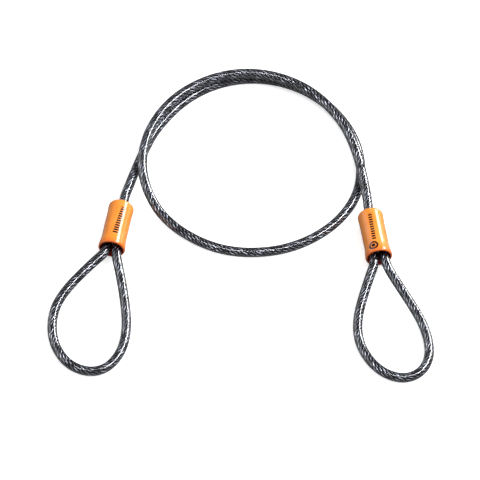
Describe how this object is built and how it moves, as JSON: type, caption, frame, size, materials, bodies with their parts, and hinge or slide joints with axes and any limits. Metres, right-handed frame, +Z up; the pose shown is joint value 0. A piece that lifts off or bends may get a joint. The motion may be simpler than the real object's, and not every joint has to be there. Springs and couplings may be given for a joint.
{
  "type": "cable lock",
  "caption": "Security cable of vinyl-jacketed steel wire rope, coiled in a ring, with a crimped and covered eye at each end.",
  "frame": {"origin": "on the ground, under the middle of the whole coiled lock", "axes": "+Z up, +Y from the eyes towards the ring, +X from the left eye to the right eye"},
  "size_m": [0.1986, 0.1956, 0.014],
  "materials": {
    "jacket": "clear vinyl, glossy",
    "strands": "twisted galvanised wire",
    "core": "twisted galvanised wire",
    "ferrule": "pressed, satin",
    "cover": "moulded, orange, glossy"
  },
  "bodies": {
    "ring": {"ring_jacket": "jacket", "ring_strands": "strands", "ring_core": "core"},
    "left_end": {"left_leg_jacket": "jacket", "left_leg_strands": "strands", "left_leg_core": "core", "left_eye_jacket": "jacket", "left_eye_strands": "strands", "left_eye_core": "core", "left_ferrule": "ferrule", "left_cover": "cover"},
    "right_end": {"right_leg_jacket": "jacket", "right_leg_strands": "strands", "right_leg_core": "core", "right_eye_jacket": "jacket", "right_eye_strands": "strands", "right_eye_core": "core", "right_ferrule": "ferrule", "right_cover": "cover"}
  },
  "joints": [
    {"name": "left_end_flex", "type": "hinge", "parent": "ring", "child": "left_end", "pos_m": [-0.0583, 0.0225, 0.0048], "axis": [0, 0, 1], "range_deg": [-22, 22], "stiffness_Nm_per_rad": 0.2, "deforming": ["left_leg_jacket", "left_leg_strands", "left_leg_core"]},
    {"name": "right_end_flex", "type": "hinge", "parent": "ring", "child": "right_end", "pos_m": [0.0647, 0.0195, 0.0073], "axis": [0, 0, 1], "range_deg": [-14, 22], "stiffness_Nm_per_rad": 0.2, "deforming": ["right_leg_jacket", "right_leg_strands", "right_leg_core"]}
  ]
}
